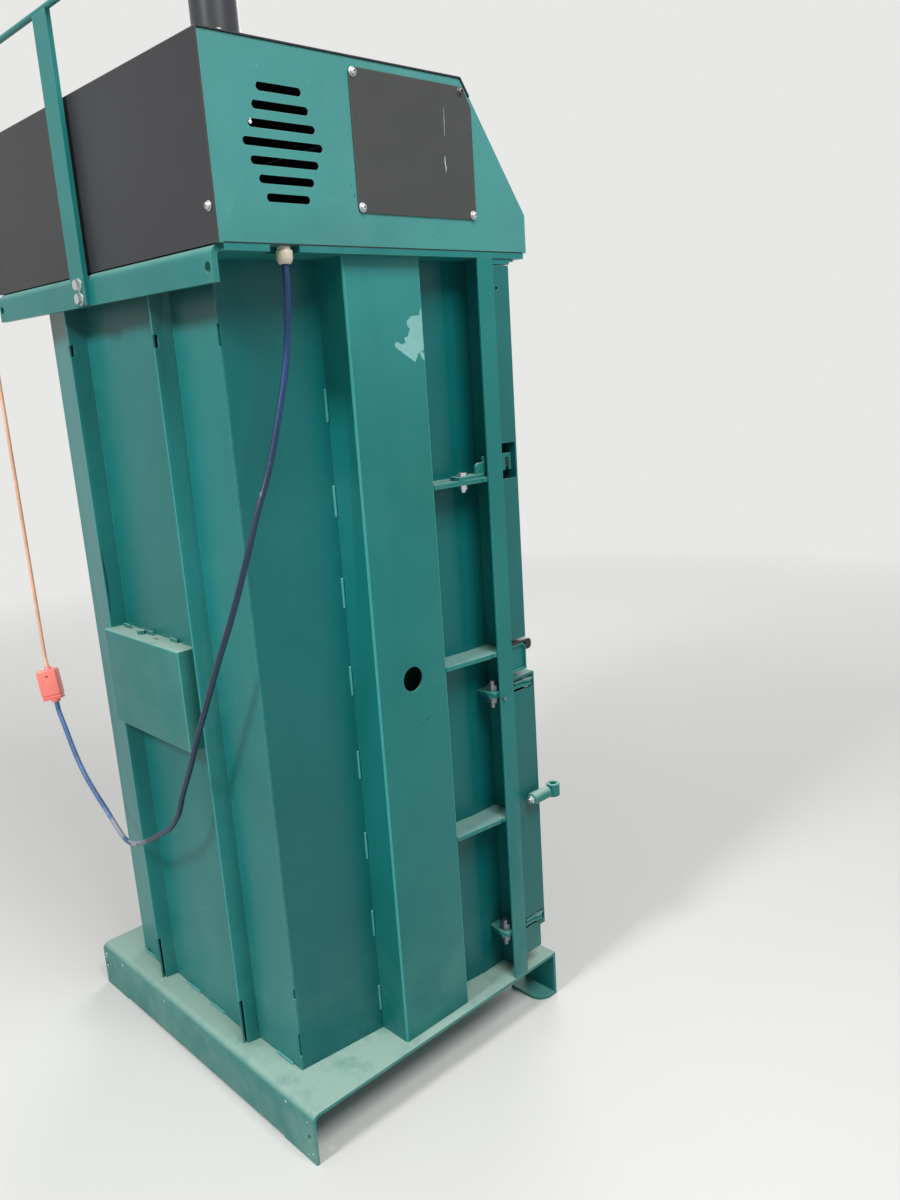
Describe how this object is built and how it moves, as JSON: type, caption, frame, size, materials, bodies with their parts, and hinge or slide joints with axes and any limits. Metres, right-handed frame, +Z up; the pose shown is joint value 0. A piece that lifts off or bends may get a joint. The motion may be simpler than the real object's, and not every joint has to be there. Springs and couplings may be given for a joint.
{
  "type": "vertical recycling baler",
  "caption": "Upright hydraulic press in a welded sheet frame, with two side-hinged front doors, a sloped top housing, a tall press cylinder and a plugged supply cable behind.",
  "frame": {"origin": "on the floor under the middle of the machine's bounding box, cords left out", "axes": "+Z up, -Y towards the operator at the front, +X to the operator's right"},
  "size_m": [1.0494, 0.828, 2.888],
  "materials": {
    "teal_paint": "satin baked enamel with dust",
    "pale_teal_paint": "dusty satin enamel",
    "black_paint": "satin powder coat",
    "charcoal_paint": "satin",
    "zinc": "zinc plated",
    "bare_steel": "oiled",
    "hard_chrome": "polished rod",
    "black_rubber": "matte",
    "ivory_plastic": "moulded",
    "blue_cable": "extruded sheath",
    "coral_plastic": "moulded",
    "orange_cable": "extruded sheath",
    "red_plastic": "moulded",
    "green_plastic": "moulded",
    "black_plastic": "moulded",
    "white_plastic": "moulded slide pads",
    "grey_paint": "satin"
  },
  "bodies": {
    "frame": {"base_plate": "pale_teal_paint", "front_feet": "teal_paint", "back_wall": "teal_paint", "left_side_wall": "teal_paint", "right_side_wall": "teal_paint", "left_column": "teal_paint", "right_column": "teal_paint", "left_post": "teal_paint", "right_post": "teal_paint", "left_gussets": "pale_teal_paint", "right_gussets": "pale_teal_paint", "stitch_welds": "teal_paint", "top_plate": "teal_paint", "front_header": "teal_paint", "door_sill": "teal_paint", "sill_lip": "black_rubber", "left_housing_panel": "teal_paint", "right_housing_panel": "teal_paint", "top_cover": "black_paint", "control_panel": "teal_paint", "access_plate": "black_paint", "housing_screws": "zinc", "electrical_box": "grey_paint", "oil_tank": "charcoal_paint", "motor_housing": "grey_paint", "hydraulic_pump": "bare_steel", "valve_block": "grey_paint", "hydraulic_pipes": "bare_steel", "cylinder_flange": "charcoal_paint", "cylinder_barrel": "charcoal_paint", "cylinder_cap": "charcoal_paint", "rod_gland": "bare_steel", "rack_upright": "teal_paint", "rack_bolts": "zinc", "rack_rail": "teal_paint", "back_cover_box": "pale_teal_paint", "strikers": "pale_teal_paint", "striker_bolts": "zinc", "hinge_brackets": "teal_paint", "hinge_bolts": "zinc", "hinge_pins": "zinc", "cable_gland": "ivory_plastic", "power_cable": "blue_cable", "supply_connector": "coral_plastic", "supply_lead": "orange_cable"},
    "press": {"piston_rod": "hard_chrome", "press_plate": "teal_paint", "slide_shoes": "white_plastic"},
    "lower_door": {"lower_door": "teal_paint", "lower_door_ears": "pale_teal_paint", "eye_bolt": "pale_teal_paint"},
    "upper_door": {"upper_door": "teal_paint", "upper_door_ears": "pale_teal_paint"},
    "lower_catch": {"lower_catch": "black_paint"},
    "upper_catch": {"upper_catch": "black_paint"},
    "motor_rotor": {"motor_rotor": "bare_steel"},
    "start_button": {"start_button": "green_plastic"},
    "return_button": {"return_button": "black_plastic"},
    "emergency_stop": {"emergency_stop": "red_plastic"},
    "key_switch": {"key_switch": "zinc"}
  },
  "joints": [
    {"name": "press_slide", "type": "slide", "parent": "frame", "child": "press", "axis": [0, 0, -1], "range_m": [0, 0.95]},
    {"name": "lower_door_hinge", "type": "hinge", "parent": "frame", "child": "lower_door", "pos_m": [-0.4715, -0.33225, 0.55], "axis": [0, 0, -1], "range_deg": [0, 105]},
    {"name": "upper_door_hinge", "type": "hinge", "parent": "frame", "child": "upper_door", "pos_m": [0.4585, -0.31225, 1.37], "axis": [0, 0, 1], "range_deg": [0, 105]},
    {"name": "lower_catch_turn", "type": "hinge", "parent": "lower_door", "child": "lower_catch", "pos_m": [0.4115, -0.32025, 0.569], "axis": [0, 1, 0], "range_deg": [0, 90]},
    {"name": "upper_catch_turn", "type": "hinge", "parent": "upper_door", "child": "upper_catch", "pos_m": [-0.4245, -0.32025, 1.372], "axis": [0, -1, 0], "range_deg": [0, 90]},
    {"name": "motor_rotor_spin", "type": "hinge", "parent": "frame", "child": "motor_rotor", "pos_m": [0.3005, 0.22275, 2.02], "axis": [1, 0, 0], "continuous": true},
    {"name": "start_button_push", "type": "slide", "parent": "frame", "child": "start_button", "axis": [0, 0.8186, -0.5743], "range_m": [0, 0.0035], "stiffness_N_per_m": 400, "springref_m": -0.003},
    {"name": "return_button_push", "type": "slide", "parent": "frame", "child": "return_button", "axis": [0, 0.8186, -0.5743], "range_m": [0, 0.0035], "stiffness_N_per_m": 400, "springref_m": -0.003},
    {"name": "emergency_stop_push", "type": "slide", "parent": "frame", "child": "emergency_stop", "axis": [0, 0.8186, -0.5743], "range_m": [0, 0.005]},
    {"name": "key_switch_turn", "type": "hinge", "parent": "frame", "child": "key_switch", "pos_m": [-0.1565, -0.31189, 1.99684], "axis": [0, -0.8186, 0.5743], "range_deg": [0, 90]}
  ]
}
